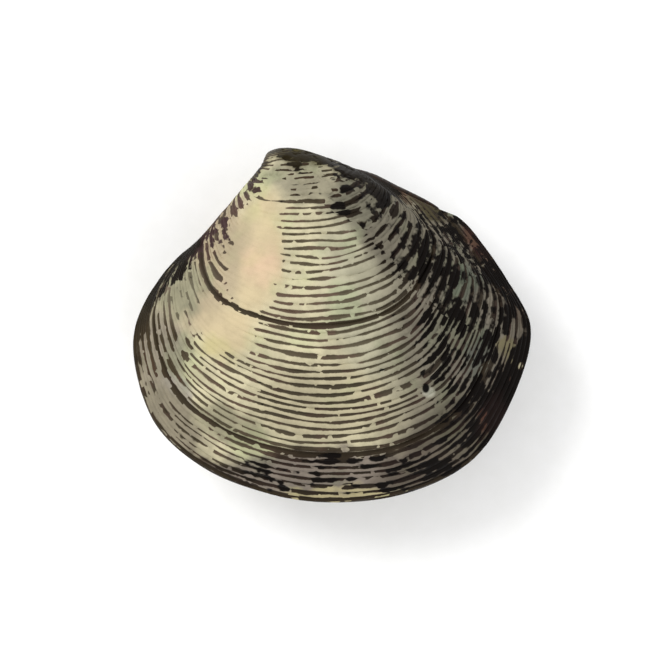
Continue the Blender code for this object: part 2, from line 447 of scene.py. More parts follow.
def lattice(tree, columns, rows):
    # tube of quads with its place round it and its row, each from 0 to 1
    given = {"Vertices": columns, "Side Segments": rows, "Radius": 1, "Depth": 1}
    tube = place(tree, "GeometryNodeMeshCylinder", given, fill_type="NONE").outputs["Mesh"]
    x, y, z = split(tree, positionOf(tree))
    turns = over(tree, calc(tree, "ARCTAN2", y, x), tau)
    around = calc(tree, "FRACT", plus(tree, turns, 1.0))
    return captured(tree, tube, around=around, row=plus(tree, z, 0.5))


firstRow, lastRow = 0.0001, 0.9999  # rows below and above these are a tube's two ends


def endRows(tree, row):
    # 1 on both ends, where the faces are welded
    first = calc(tree, "LESS_THAN", row, firstRow)
    return calc(tree, "MAXIMUM", calc(tree, "GREATER_THAN", row, lastRow), first)


def marginAt(tree, given, around):
    inputs = {"Curves": given["Margin"], "Factor": around}
    return place(tree, "GeometryNodeSampleCurve", inputs, mode="FACTOR").outputs["Position"]


def lineNumber(tree, given, row):
    # growth line of a row: most rows lie over the ribs
    ribs = minus(tree, given["Margin Line"], given["First Rib Line"])
    early = minus(tree, given["First Rib Line"], times(tree, given["Margin Line"], given["Tip Size"]))
    late = calc(tree, "MINIMUM", over(tree, row, given["Rib Rows"]), 1.0)
    past = calc(tree, "MAXIMUM", minus(tree, row, given["Rib Rows"]), 0.0)
    past = over(tree, past, minus(tree, 1.0, given["Rib Rows"]))
    fallen = plus(tree, times(tree, ribs, late), times(tree, early, past))
    return minus(tree, given["Margin Line"], fallen)


def strayedLine(tree, given, margin, line):
    # growth line counted with its wandering
    mx, my, _ = split(tree, scaled(tree, margin, 1 / mm))
    scale = relief["wanderScale"]
    along = times(tree, line, relief["wanderPerLine"])
    drift = joined(tree, times(tree, mx, scale), times(tree, my, scale), along)
    drift = vector(tree, "ADD", drift, joined(tree, given["Seed"], 0.0, 0.0))
    wander = times(tree, swing(tree, noise(tree, drift, 1.0, detail=0.5), 1.0), given["Line Wander"])
    return plus(tree, line, wander)


def wearAndHighlightMask(tree, spot):
    # worn patches: the ribs are lower there, and a painted highlight makes the skin pale
    wearAndHighlight = 0.0
    ragged = strayed(tree, spot, relief["wearAndHighlightStrayScale"], relief["wearAndHighlightStray"])
    for patch in wearAndHighlightPatches:
        wearAndHighlight = calc(tree, "MAXIMUM", wearAndHighlight, softPatch(tree, ragged, patch))
    return wearAndHighlight


def ribHeight(tree, given, seeded, line, ringed, wearAndHighlight):
    fromMiddle = calc(tree, "ABSOLUTE", minus(tree, times(tree, calc(tree, "FRACT", ringed), 2.0), 1.0))
    crest = minus(tree, 1.0, calc(tree, "POWER", fromMiddle, relief["crestPower"]))
    grown = ramp(tree, line, *relief["ribsRise"])
    strength = times(tree, grown, minus(tree, 1.0, times(tree, wearAndHighlight, relief["polishWear"])))
    patchy = noise(tree, seeded, relief["unevenScale"], detail=3.0)
    uneven = ramp(tree, patchy, *noiseRange, *relief["uneven"])
    return times(tree, given["Rib Height"], times(tree, crest, times(tree, strength, uneven)))


def valveRelief(tree, given, margin, spot, around, line):
    # height over the smooth valve in metres, and the masks that the skin reads
    ringed = strayedLine(tree, given, margin, line)
    wearAndHighlight = wearAndHighlightMask(tree, spot)
    seeded = vector(tree, "ADD", spot, joined(tree, given["Seed"], given["Seed"], 0.0))
    height = ribHeight(tree, given, seeded, line, ringed, wearAndHighlight)
    for stop, groove in growthStops.items():
        height = timesPlus(tree, bell(tree, ringed, stop, groove["width"]), -groove["depth"] * mm, height)
    pitted = noise(tree, seeded, relief["pitScale"], detail=4.0, roughness=0.6)
    pitted = ramp(tree, pitted, *relief["pitEdge"])
    pits = times(tree, pitted, ramp(tree, line, *relief["pitsFade"]))
    height = minus(tree, height, times(tree, pits, given["Pit Depth"]))
    lunule = bell(tree, around, lunuleAt["share"], lunuleAt["width"])
    height = minus(tree, height, times(tree, lunule, lunuleAt["depth"] * mm))
    for layer in relief["overall"]:
        bumps = noise(tree, seeded, layer["scale"], layer["detail"])
        height = plus(tree, height, swing(tree, bumps, layer["height"] * mm))
    # less near the hinge, where the lines crowd together
    height = times(tree, height, over(tree, vector(tree, "LENGTH", margin), given["Reach"]))
    return height, {"growthLine": ringed, "wearAndHighlight": wearAndHighlight, "pits": pits}


def outerFace(tree, given):
    geometry, (around, row) = lattice(tree, given["Columns"], given["Rows"])
    line = lineNumber(tree, given, row)
    size = over(tree, line, given["Margin Line"])
    margin = marginAt(tree, given, around)
    pole = calc(tree, "GREATER_THAN", row, lastRow)
    traced = mixed(tree, pole, margin, given["Hollow Centre"], "VECTOR")
    geometry = moved(tree, geometry, growthPoint(tree, given, traced, size))
    spot = scaled(tree, positionOf(tree), 1 / mm)
    geometry, (normal, spot) = captured(tree, geometry, normal=normalOf(tree), spot=spot)
    height, masks = valveRelief(tree, given, margin, spot, around, line)
    # no relief on the end rows, half of it on the next ones
    halfRows = times(tree, given["Rows"], 0.5)
    fromLast = times(tree, minus(tree, 1.0, row), halfRows)
    ends = calc(tree, "MINIMUM", times(tree, row, halfRows), fromLast)
    height = times(tree, height, calc(tree, "MINIMUM", ends, 1.0))
    geometry = moved(tree, geometry, offset=scaled(tree, normal, height))
    return stored(tree, geometry, weld=endRows(tree, row), **masks, inside=0.0)


rayLength = 20 * mm  # more than the shell's thickness


def innerFace(tree, given, outer):
    # row 0 is the margin and 1 the flat rim's edge; the rest is the hollow, one wall under the outer face
    geometry, (around, row) = lattice(tree, given["Columns"], given["Inner Rows"])
    margin = marginAt(tree, given, around)
    step = times(tree, row, given["Inner Rows"])
    near = over(tree, vector(tree, "LENGTH", margin), given["Hinge Plate Reach"])
    near = calc(tree, "MAXIMUM", minus(tree, 1.0, near), 0.0)
    widening = times(tree, minus(tree, given["Hinge Plate"], given["Rim Width"]), near)
    width = plus(tree, given["Rim Width"], widening)
    inward = vector(tree, "NORMALIZE", vector(tree, "SUBTRACT", given["Hollow Centre"], margin))
    across = times(tree, width, calc(tree, "MINIMUM", step, 1.0))
    rimEdge = vector(tree, "ADD", margin, scaled(tree, inward, across))
    past = calc(tree, "MAXIMUM", minus(tree, step, 1.0), 0.0)
    share = minus(tree, 1.0, over(tree, past, minus(tree, given["Inner Rows"], 1.0)))
    toEdge = vector(tree, "SUBTRACT", rimEdge, given["Hollow Centre"])
    flat = vector(tree, "ADD", given["Hollow Centre"], scaled(tree, toEdge, share))
    ray = {"Target Geometry": outer, "Source Position": flat}
    ray.update({"Ray Direction": (0, 0, 1), "Ray Length": rayLength})
    top = split(tree, place(tree, "GeometryNodeRaycast", ray).outputs["Hit Position"])[2]
    height = calc(tree, "MAXIMUM", minus(tree, top, given["Wall"]), 0.0)
    height = times(tree, height, calc(tree, "GREATER_THAN", step, 1.5))
    geometry = moved(tree, geometry, vector(tree, "ADD", flat, joined(tree, 0.0, 0.0, height)))
    inside = calc(tree, "GREATER_THAN", step, 0.5)
    return stored(
        tree, flipped(tree, geometry), weld=endRows(tree, row), inside=inside, growthLine=innerLine,
    )


def placedValve(tree, given, geometry):
    # mirrored for the right valve, carried to the hinge point and waved at the seam
    x, y, z = split(tree, positionOf(tree))
    raised = plus(tree, z, times(tree, given["Seam"], 0.5))
    wave = noise(tree, scaled(tree, joined(tree, x, y, 0.0), 1 / mm), relief["seamWaveScale"], detail=1.0)
    wave = times(tree, swing(tree, wave, 1.0), given["Seam Wave"])
    wave = times(tree, wave, bell(tree, z, 0.0, given["Seam Wave Reach"]))
    lifted = plus(tree, times(tree, raised, given["Side"]), wave)
    geometry = moved(tree, geometry, vector(tree, "ADD", joined(tree, x, y, lifted), given["Hinge Point"]))
    mirrored = calc(tree, "LESS_THAN", given["Side"], 0.0)
    choice = {"Switch": mirrored, "False": geometry, "True": flipped(tree, geometry)}
    return place(tree, "GeometryNodeSwitch", choice, input_type="GEOMETRY").outputs[0]


def wornFlat(tree, given, geometry):
    # nothing goes below the floor, and the skin knows the spot
    x, y, z = split(tree, positionOf(tree))
    rest = calc(tree, "LESS_THAN", z, plus(tree, given["Floor"], given["Rest Margin"]))
    geometry, (rest,) = captured(tree, geometry, rest=rest)
    geometry = moved(tree, geometry, joined(tree, x, y, calc(tree, "MAXIMUM", z, given["Floor"])))
    return stored(tree, geometry, restSpot=rest)


def valveTree():
    names = (*valveSockets, *valveShape)
    tree, given = modifierTree("bivalveGrowth", {name: valveSockets.get(name, "Float") for name in names})
    outer = outerFace(tree, given)
    join = place(tree, "GeometryNodeJoinGeometry")
    for face in (innerFace(tree, given, outer), outer):
        feed(tree, join.inputs[0], face)
    ends = calc(tree, "GREATER_THAN", named(tree, "weld"), 0.5)
    valve = welded(tree, join.outputs[0], ends)
    valve = wornFlat(tree, given, placedValve(tree, given, valve))
    finished(tree, valve, given["Skin"])
    return tree


def makeValve(tree, name, side, seed, skin):
    source = polyCurve("marginCurve", [p.to_3d() * mm for p in marginLoop], True)
    values = {**valveShape, "Side": side, "Seed": seed, "Skin": skin}
    return meshFrom(source, tree, values, name, sharpAbove=55)


# Skin of the valves

studioLevel = 1.37  # how much brighter than its own colour a surface shows in the studio


def paint(red, green, blue, level=studioLevel):
    # surface colour that shows on the screen as these values, 0 to 255
    parts = [value / 255 for value in (red, green, blue)]
    parts = [v / 12.92 if v < 0.04 else ((v + 0.055) / 1.055) ** 2.4 for v in parts]
    return (*[v / level for v in parts], 1)


skinColours = {
    "rib": paint(216, 207, 172),
    "highlightCream": paint(214, 196, 158),  # the painted highlight on the worn ribs
    "line": paint(96, 86, 68),
    "patch": paint(16, 11, 8),
    "stop": paint(56, 47, 34),  # growth stops and the margin
    "porcelain": paint(236, 228, 212),  # the inside
    "chalk": paint(190, 183, 160),  # where the shell rests
}
skinPattern = {
    "lineShare": 0.38,  # share of each rib that its dark line covers
    "lineSwing": 0.50,
    "lineGrainScale": 8.0,
    "lineGrain": 0.10,
    "lineSoftness": 0.12,
    "gapEdge": (0.59, 0.65),  # noise at the edge of a break in a line, and in the break
    "gapDepth": 0.7,
    "edgeSwing": 1.3,  # how unevenly the lines end at the worn patch and its painted highlight
    "pitCover": -0.4,  # lines are thinner in the pits
    "patchSwing": 3.1,
    "patchSoftness": 0.3,
    "strokeSwing": 2.8,  # strokes that each line has for itself
    "strokeHold": 1.0,  # how much the patches keep to the lines
    "looseHold": 0.4,  # share of that which loose patches keep
    "looseScale": 1.5,
    "looseStray": 0.6,
    "blotchStart": 2.5,
    "blotchGain": 3.5,
    "stopWidth": 1.4,  # dark bands on the growth stops, in widths of their grooves
    "stopCover": 0.9,
    "stopTint": 0.8,
    "marginBand": (60.2, 61.4),  # growth lines between which the margin's dark band comes in
    "marginTint": 0.8,
    "zoneStrayScale": 0.9,  # the zones' edges are ragged
    "zoneStray": 0.8,
    "smallZone": 0.7,  # but not those of marks smaller than this, in mm
    "ribShadeLow": 0.82,  # brightness of the ribs' faint clouds
    "ribShadeHigh": 1.08,
    "highlightLift": 0.12,  # painted highlight: added to the low one on the worn patch
    "restShare": 0.5,
}
skinFinish = {
    "mottle": (2.6, 0.6, 0.4),  # fine scale, broad scale and the fine one's share
    "specular": 0.05,
    "roughness": (0.50, 0.68),
    "roughPits": 0.2,  # added in the pits, and on what is dark
    "roughDark": -0.12,
    "grain": dict(scale=9.0, height=0.012, strength=0.6),  # height in mm
}
tints = {  # clouds of a hue that multiplies the tone below; w is the noise's fourth place
    "moss": dict(hue=(0.86, 1.0, 0.84, 1), share=0.6, scale=0.45, edge=(0.5, 0.68), w=3.0),
    "plum": dict(hue=(1.22, 1.0, 1.12, 1), share=0.9, scale=0.7, edge=(0.46, 0.62), w=11.0),
}
lineNoises = {  # noises that change from one growth line to the next, by a step of w
    "width": dict(scale=1.1, detail=1.5, step=3.7),
    "gaps": dict(scale=1.7, detail=1.0, step=5.3, start=20.0),
    "edge": dict(scale=0.3, detail=1.0, step=9.1, start=7.0),
    "strokes": dict(scale=1.4, detail=2.0, step=6.1, start=90.0),
    "finePatches": dict(scale=0.9, detail=2.5, step=0.5),
    "broadPatches": dict(scale=0.9, detail=3.0, roughness=0.6, step=0.3, start=50.0),
}
# Tones of the skin, in mm from the hinge point, later ones over earlier ones: rib, line and patch are
# colours, cover widens the lines, gaps breaks them, coarse doubles their pitch, blotch adds dark patches,
# broad makes these wide and loose lets them stray from the lines
zones = dict(
    # middle
    centreGrey=dict(
        centre=(3.6, -6.5), size=(3.4, 7.0), turn=10,
        rib=(191, 186, 159), line=(98, 90, 72), cover=-0.03, gaps=-0.02),
    centreWarm=dict(
        centre=(1.0, -12.0), size=(4.4, 2.8),
        rib=(196, 186, 154), line=(72, 64, 50), cover=0.09, gaps=-0.02),
    # darker towards the rear and the belly: partly the shell's own dark periostracum, partly painted shade
    centreDarkAndShaded=dict(
        centre=(7.4, -8.4), size=(4.2, 6.0), core=0.3,
        rib=(138, 133, 114), line=(60, 52, 41), cover=0.05),
    lowerDarkAndShaded=dict(
        centre=(7.6, -13.4), size=(5.0, 3.4), core=0.3,
        rib=(134, 127, 110), line=(56, 48, 38)),
    # rear, darker in the main: partly the shell's own dark periostracum, partly painted shade
    rearField=dict(
        centre=(10.8, -7.5), size=(8.4, 12.6), turn=18, core=0.4,
        rib=(124, 117, 104), line=(56, 49, 40), cover=0.08, blotch=0.77, broad=1),
    lowerRear=dict(
        centre=(8.6, -14.1), size=(4.6, 3.2), turn=38,
        rib=(96, 88, 76), line=(34, 27, 20), cover=0.14, blotch=0.24),
    rearEdgeHigh=dict(
        centre=(10.8, -5.2), size=(2.0, 4.4), turn=26,
        rib=(92, 76, 64), line=(34, 24, 20), cover=0.1, blotch=0.22),
    rearEdgeLow=dict(
        centre=(11.5, -11.7), size=(2.3, 4.6), turn=-14,
        rib=(76, 56, 45), line=(28, 19, 15), cover=0.2, blotch=0.4),
    rearLoose=dict(centre=(8.9, -3.6), size=(2.4, 6.5), turn=47, cover=-0.05, coarse=1, loose=0.8),
    rearComb=dict(centre=(7.4, -4.9), size=(2.8, 7.0), turn=45, core=0.6, coarse=1, loose=0.35),
    rearEdgePale=dict(
        centre=(10.4, -9.4), size=(0.7, 0.8),
        rib=(120, 112, 86), cover=-0.15, blotch=-0.3),
    upperRear=dict(
        centre=(4.7, -3.6), size=(2.2, 3.4), turn=22,
        rib=(124, 118, 103), line=(34, 27, 20), cover=0.1, blotch=0.2, gaps=0.12),
    # beak
    beakBehind=dict(
        centre=(2.7, -1.6), size=(2.5, 2.0),
        rib=(128, 124, 107), line=(42, 35, 26), cover=0.2, blotch=0.5, gaps=0.05, coarse=0.8),
    beakWorn=dict(
        centre=(0.0, -0.9), size=(2.4, 1.5), turn=-10,
        rib=(166, 159, 135), line=(60, 52, 36), cover=0.1, blotch=0.3, gaps=0.1),
    beakCap=dict(
        centre=(0.3, 1.15), size=(3.2, 1.6), turn=-6, core=0.6,
        rib=(86, 79, 52), line=(44, 37, 18), patch=(40, 33, 14), cover=0.3, blotch=0.76, loose=0.6),
    backEdge=dict(
        centre=(3.8, -0.1), size=(3.6, 1.6), turn=-24, core=0.6,
        rib=(78, 70, 54), line=(32, 26, 17), patch=(28, 22, 13), cover=0.35, blotch=0.8, loose=0.8),
    beakFront=dict(
        centre=(-2.1, -0.4), size=(0.45, 1.4), turn=-25,
        rib=(96, 84, 64), line=(50, 42, 30), cover=0.3, blotch=0.4),
    beakMark=dict(
        centre=(-2.2, -1.35), size=(0.9, 0.6), turn=15, core=0.3,
        line=(76, 60, 54), patch=(72, 56, 50), cover=0.3, blotch=0.72, coarse=1, loose=0.6),
    # front
    frontPurple=dict(
        centre=(-4.6, -3.8), size=(2.4, 1.0), turn=47, core=0.5,
        rib=(132, 110, 104), line=(74, 56, 54), patch=(74, 55, 54), cover=0.18, blotch=0.7, loose=0.5),
    frontStrokes=dict(
        centre=(-3.6, -2.3), size=(1.9, 0.9), turn=47,
        line=(84, 70, 60), cover=0.2, coarse=1),
    frontEdgeBrown=dict(
        centre=(-7.0, -4.8), size=(3.2, 1.75), turn=48, core=0.74,
        rib=(70, 60, 44), line=(32, 25, 14), patch=(26, 20, 11), cover=0.35, blotch=0.9, loose=0.5),
    frontEdgeOlive=dict(
        centre=(-8.8, -8.0), size=(1.45, 3.0), turn=-12, core=0.6,
        rib=(78, 73, 53), line=(40, 35, 22), patch=(36, 31, 19), cover=0.3, blotch=0.8, loose=0.5),
    frontLines=dict(
        centre=(-10.0, -9.0), size=(5.6, 9.0), core=0.6,
        cover=0.12, gaps=0.05, coarse=1),
    frontGrey=dict(
        centre=(-7.0, -9.6), size=(2.0, 3.4),
        rib=(160, 150, 132), line=(72, 62, 44), patch=(62, 52, 36), blotch=0.35, broad=0.5),
    frontHatch=dict(
        centre=(-4.6, -5.2), size=(2.5, 4.3), turn=-28,
        rib=(192, 176, 146), line=(88, 76, 62), cover=0.14, gaps=0.05, coarse=1),
    frontShade=dict(
        centre=(-6.0, -6.4), size=(1.6, 2.3), turn=-30,
        rib=(162, 157, 130), line=(112, 106, 86), cover=-0.16, blotch=-0.1),
    frontDusk=dict(
        centre=(-9.2, -9.4), size=(1.8, 4.6), turn=-8,
        rib=(140, 130, 108), line=(68, 60, 46), cover=-0.04, blotch=0.1),
    frontPale=dict(
        centre=(-6.3, -11.5), size=(1.0, 1.5), turn=30,
        rib=(174, 166, 152), cover=-0.25, blotch=-0.2),
    frontLowEdge=dict(
        centre=(-6.7, -13.2), size=(2.1, 3.8), turn=32,
        rib=(152, 143, 122), line=(72, 64, 50), patch=(60, 52, 38),
        cover=-0.1, blotch=0.35, gaps=0.06, broad=0.5),
    frontRim=dict(
        centre=(-4.3, -15.6), size=(3.8, 0.9), turn=-23,
        rib=(92, 80, 66), line=(48, 40, 30), patch=(44, 36, 27), cover=0.3, blotch=0.3),
    lowOlive=dict(
        centre=(-3.4, -13.2), size=(2.8, 1.3), turn=-26,
        rib=(166, 160, 132), line=(88, 80, 62), cover=-0.12, gaps=0.03),
    # belly
    # darker along the belly: partly the shell's own dark periostracum, partly painted shade
    bellyBand=dict(
        centre=(1.7, -15.6), size=(7.6, 1.6), core=0.6,
        rib=(142, 131, 119), line=(50, 42, 33), cover=0.15, blotch=0.52, gaps=0.03),
    bellyFrontDark=dict(centre=(-3.3, -14.7), size=(1.5, 0.6), turn=-30, blotch=0.4),
    bellyRear=dict(
        centre=(6.4, -15.2), size=(3.6, 1.8), turn=20,
        rib=(112, 102, 90), line=(34, 27, 21), blotch=0.2),
    bellyEdge=dict(
        centre=(1.9, -16.9), size=(6.0, 0.8),
        rib=(188, 176, 136), line=(50, 42, 32), cover=0.04, blotch=-0.2),
    # tints
    rustHigh=dict(centre=(5.3, -1.5), size=(1.1, 0.6), turn=-25, rib=(104, 82, 66), blotch=-0.15),
    oliveHigh=dict(centre=(6.5, -2.3), size=(1.2, 0.7), turn=-25, rib=(84, 77, 56), blotch=-0.1),
    rustRear=dict(
        centre=(8.9, -4.0), size=(1.0, 1.3), turn=40,
        rib=(98, 74, 62), line=(46, 30, 26), patch=(30, 20, 17), blotch=-0.1),
    rustLow=dict(
        centre=(9.7, -12.7), size=(1.0, 1.5), turn=-20,
        rib=(84, 58, 48), line=(40, 25, 21), patch=(28, 17, 14), blotch=-0.05),
    slateRear=dict(centre=(8.95, -9.7), size=(1.0, 1.7), turn=-15, rib=(104, 104, 94), blotch=-0.06),
    slateHigh=dict(centre=(8.3, -6.1), size=(0.8, 1.5), rib=(108, 109, 97), blotch=-0.1),
    # pinkish lift within the painted highlight
    blush=dict(centre=(-1.9, -5.1), size=(1.3, 1.5), core=0.0, rib=(224, 194, 163)),
    creamGreen=dict(centre=(-4.2, -9.3), size=(1.6, 1.0), turn=-20, core=0.0, rib=(204, 192, 144)),
    # single marks
    ringSpot=dict(
        centre=(6.4, -11.5), size=(0.42, 0.36),
        rib=(180, 176, 160), cover=-1, blotch=-1.2),
    darkSpot=dict(
        centre=(6.25, -11.3), size=(0.22, 0.3), core=0.6,
        rib=(14, 10, 8), line=(12, 8, 6)),
    edgeChip=dict(
        centre=(11.05, -10.2), size=(0.16, 0.26), turn=-20,
        rib=(190, 182, 150), cover=-1, blotch=-2),
    hingeChip=dict(centre=(7.5, -2.6), size=(0.2, 0.15), rib=(122, 124, 106), cover=-0.5, blotch=-1),
)


def attribute(tree, name):
    return place(tree, "ShaderNodeAttribute", attribute_name=name).outputs["Fac"]


def mottleGroup():
    # fine and broad mottling together, used by every finish here
    tree = bpy.data.node_groups.new("mottle", "ShaderNodeTree")
    kinds = {"Where": "Vector", "Fine Scale": "Float", "Broad Scale": "Float", "Fine Share": "Float"}
    given = groupInput(tree, kinds)
    tree.interface.new_socket("Mask", in_out="OUTPUT", socket_type="NodeSocketFloat")
    fine = noise(tree, given["Where"], given["Fine Scale"], detail=4.0, roughness=0.6)
    broad = noise(tree, given["Where"], given["Broad Scale"], detail=3.0)
    both = mixed(tree, given["Fine Share"], broad, fine, "FLOAT")
    place(tree, "NodeGroupOutput", {0: ramp(tree, both, *noiseRange)})
    return tree


mottle = mottleGroup()


def mottled(tree, where, fine, broad, share):
    given = {"Where": where, "Fine Scale": fine, "Broad Scale": broad, "Fine Share": share}
    return place(tree, "ShaderNodeGroup", given, node_tree=mottle).outputs["Mask"]


def newMaterial(name):
    material = bpy.data.materials.new(name)
    material.use_nodes = True
    return material, material.node_tree, material.node_tree.nodes["Principled BSDF"]


def spotOn(tree):
    # place on the shell in mm from the hinge point
    coordinates = place(tree, "ShaderNodeTexCoord").outputs["Object"]
    return scaled(tree, vector(tree, "SUBTRACT", coordinates, hingePoint), 1 / mm)


def dressed(tree, shader, spot, colour, rough, finish):
    # the finish's colour, gloss and fine grain on the shader
    grain = finish["grain"]
    bump = {"Height": noise(tree, spot, grain["scale"], detail=3.0)}
    bump.update({"Distance": grain["height"] * mm, "Strength": grain["strength"]})
    feed(tree, shader.inputs["Base Color"], colour)
    feed(tree, shader.inputs["Roughness"], rough)
    feed(tree, shader.inputs["Specular IOR Level"], finish["specular"])
    feed(tree, shader.inputs["Normal"], place(tree, "ShaderNodeBump", bump).outputs[0])


def lineNoise(tree, spot, line, name):
    kind = lineNoises[name]
    w = timesPlus(tree, line, kind["step"], kind.get("start", 0.0))
    return noise(tree, spot, kind["scale"], kind["detail"], kind.get("roughness", 0.5), w)


def tinted(tree, spot, colour, tint):
    cloud = noise(tree, spot, tint["scale"], w=tint["w"])
    share = ramp(tree, cloud, *tint["edge"], 0.0, tint["share"])
    return mixed(tree, share, colour, mixed(tree, 1.0, colour, tint["hue"], blending="MULTIPLY"))


def zonedSkin(tree, spot, wearAndHighlight):
    # colours of ribs, lines and patches at this place, and what it adds to lines, blotches and gaps
    tones = {name: skinColours[name] for name in ("rib", "line", "patch")}
    # painted highlight: pale cream ribs on the worn patch
    tones["rib"] = mixed(tree, wearAndHighlight, skinColours["rib"], skinColours["highlightCream"])
    added = {name: 0.0 for name in ("cover", "blotch", "gaps", "coarse", "broad", "loose")}
    ragged = strayed(tree, spot, skinPattern["zoneStrayScale"], skinPattern["zoneStray"])
    for zone in zones.values():
        small = max(zone["size"]) < skinPattern["smallZone"]
        mask = softPatch(tree, spot if small else ragged, zone)
        for name in tones:
            if name in zone:
                tones[name] = mixed(tree, mask, tones[name], paint(*zone[name]))
        for name in added:
            if name in zone:
                added[name] = timesPlus(tree, mask, zone[name], added[name])
    return tones, added


def stopBands(tree, line):
    # 1 on the growth stops, and nearly so at the margin
    stopped = ramp(tree, line, *skinPattern["marginBand"], 0.0, skinPattern["marginTint"])
    for stop, groove in growthStops.items():
        stopped = plus(tree, stopped, bell(tree, line, stop, skinPattern["stopWidth"] * groove["width"]))
    return stopped


def nearestLine(tree, line, coarse):
    # the nearest line drawn, and how far it is: 0 on it, 1 halfway to the next
    pitch = calc(tree, "POWER", 2.0, calc(tree, "ROUND", coarse))
    nearest = times(tree, calc(tree, "ROUND", over(tree, line, pitch)), pitch)
    away = calc(tree, "ABSOLUTE", minus(tree, line, nearest))
    return nearest, over(tree, times(tree, away, 2.0), pitch)


def drawnLines(tree, spot, nearest, away, added, worn):
    # 1 on the dark lines, which cover more or less of each rib
    swung = swing(tree, lineNoise(tree, spot, nearest, "width"), skinPattern["lineSwing"])
    cover = plus(tree, plus(tree, added["cover"], skinPattern["lineShare"]), swung)
    grain = noise(tree, spot, skinPattern["lineGrainScale"], detail=1.0)
    cover = plus(tree, cover, swing(tree, grain, skinPattern["lineGrain"]))
    gaps = plus(tree, lineNoise(tree, spot, nearest, "gaps"), added["gaps"])
    cover = minus(tree, cover, ramp(tree, gaps, *skinPattern["gapEdge"], 0.0, skinPattern["gapDepth"]))
    edge = swing(tree, lineNoise(tree, spot, nearest, "edge"), skinPattern["edgeSwing"])
    # no lines under the painted highlight on the worn patch
    bare = ramp(tree, plus(tree, worn["wearAndHighlight"], edge), *noiseRange)
    unstopped = minus(tree, 1.0, worn["stopped"])
    cover = timesPlus(tree, unstopped, times(tree, bare, -1.0), cover)
    cover = timesPlus(tree, worn["stopped"], skinPattern["stopCover"], cover)
    cover = timesPlus(tree, worn["pits"], skinPattern["pitCover"], cover)
    soft = skinPattern["lineSoftness"]
    return ramp(tree, minus(tree, cover, away), -soft, soft)


def darkPatches(tree, spot, line, nearest, away, added):
    # 1 in the dark patches, drawn out along the growth lines where they aren't loose
    fine = lineNoise(tree, spot, line, "finePatches")
    broad = lineNoise(tree, spot, line, "broadPatches")
    scale = skinPattern["looseScale"]
    loose = strayed(tree, spot, scale, skinPattern["looseStray"])
    loose = noise(tree, loose, scale, detail=3.0, roughness=0.6)
    patches = mixed(tree, added["broad"], fine, broad, "FLOAT")
    patches = mixed(tree, added["loose"], patches, loose, "FLOAT")
    strokes = lineNoise(tree, spot, nearest, "strokes")
    hold = times(tree, minus(tree, 0.5, away), skinPattern["strokeHold"])
    hold = plus(tree, hold, swing(tree, strokes, skinPattern["strokeSwing"]))
    hold = times(tree, hold, timesPlus(tree, added["loose"], skinPattern["looseHold"] - 1.0, 1.0))
    score = minus(tree, swing(tree, patches, skinPattern["patchSwing"]), skinPattern["blotchStart"])
    score = plus(tree, score, hold)
    score = timesPlus(tree, added["blotch"], skinPattern["blotchGain"], score)
    soft = skinPattern["patchSoftness"]
    return ramp(tree, score, -soft, soft)


def shellSkin():
    material, tree, shader = newMaterial("shellSkin")
    spot = spotOn(tree)
    line = attribute(tree, "growthLine")
    worn = {name: attribute(tree, name) for name in ("wearAndHighlight", "pits")}
    worn["stopped"] = stopBands(tree, line)
    tones, added = zonedSkin(tree, spot, worn["wearAndHighlight"])
    nearest, away = nearestLine(tree, line, added["coarse"])
    lined = drawnLines(tree, spot, nearest, away, added, worn)
    blotched = darkPatches(tree, spot, line, nearest, away, added)
    cloud = mottled(tree, spot, *skinFinish["mottle"])
    # ribs brighter under the painted highlight
    low = timesPlus(tree, worn["wearAndHighlight"], skinPattern["highlightLift"], skinPattern["ribShadeLow"])
    ribLightness = ramp(tree, cloud, 0.0, 1.0, low, skinPattern["ribShadeHigh"])
    rib = place(tree, "ShaderNodeHueSaturation", {"Value": ribLightness, "Color": tones["rib"]}).outputs[0]
    rib = tinted(tree, spot, rib, tints["moss"])
    ink = tinted(tree, spot, tones["line"], tints["plum"])
    ink = mixed(tree, times(tree, worn["stopped"], skinPattern["stopTint"]), ink, skinColours["stop"])
    colour = mixed(tree, blotched, mixed(tree, lined, rib, ink), tones["patch"])
    colour = mixed(tree, attribute(tree, "inside"), colour, skinColours["porcelain"])
    rest = times(tree, attribute(tree, "restSpot"), skinPattern["restShare"])
    colour = mixed(tree, rest, colour, skinColours["chalk"])
    rough = ramp(tree, cloud, 0.0, 1.0, *skinFinish["roughness"])
    rough = timesPlus(tree, worn["pits"], skinFinish["roughPits"], rough)
    dark = calc(tree, "MAXIMUM", lined, blotched)
    rough = timesPlus(tree, dark, skinFinish["roughDark"], rough)
    dressed(tree, shader, spot, colour, rough, skinFinish)
    return material


skin = shellSkin()
print("skin mixed from", len(zones), "zones")
growthTree = valveTree()
leftShell = makeValve(growthTree, "leftShell", side=1.0, seed=0.0, skin=skin)
rightShell = makeValve(growthTree, "rightShell", side=-1.0, seed=17.0, skin=skin)
print("valves grown:", len(leftShell.data.polygons), "and", len(rightShell.data.polygons), "faces")


# Ligament

ligamentShape = {
    "start": 0.6,  # mm along the shell's length from the hinge point
    "end": 6.95,
    "halfWidth": 0.62,
    "halfHeight": 0.30,
    "stations": 60,
    "sides": 28,
    "taper": 0.12,  # thickness at the ends, as a share of the middle's
    "swellPlace": 0.85,  # below 1, the thickest place lies towards the beak
    "swellPower": 0.6,  # below 1, it thickens fast and stays thick
    "sink": 0.06,  # mm that it beds into the trough between the valves
    "contactSteps": 16,
    "striae": 46.0,
    "wrinkle": 0.018,
}
hornFinish = {
    "dark": paint(24, 16, 10),
    "light": paint(58, 39, 26),
    "band": paint(22, 15, 11),
    "bands": 30.0,  # along its length
    "bandEdge": (0.45, 0.7),
    "mottle": (5.0, 1.2, 0.5),
    "specular": 0.08,
    "roughness": (0.4, 0.6),
    "grain": dict(scale=14.0, height=0.01, strength=0.5),
}


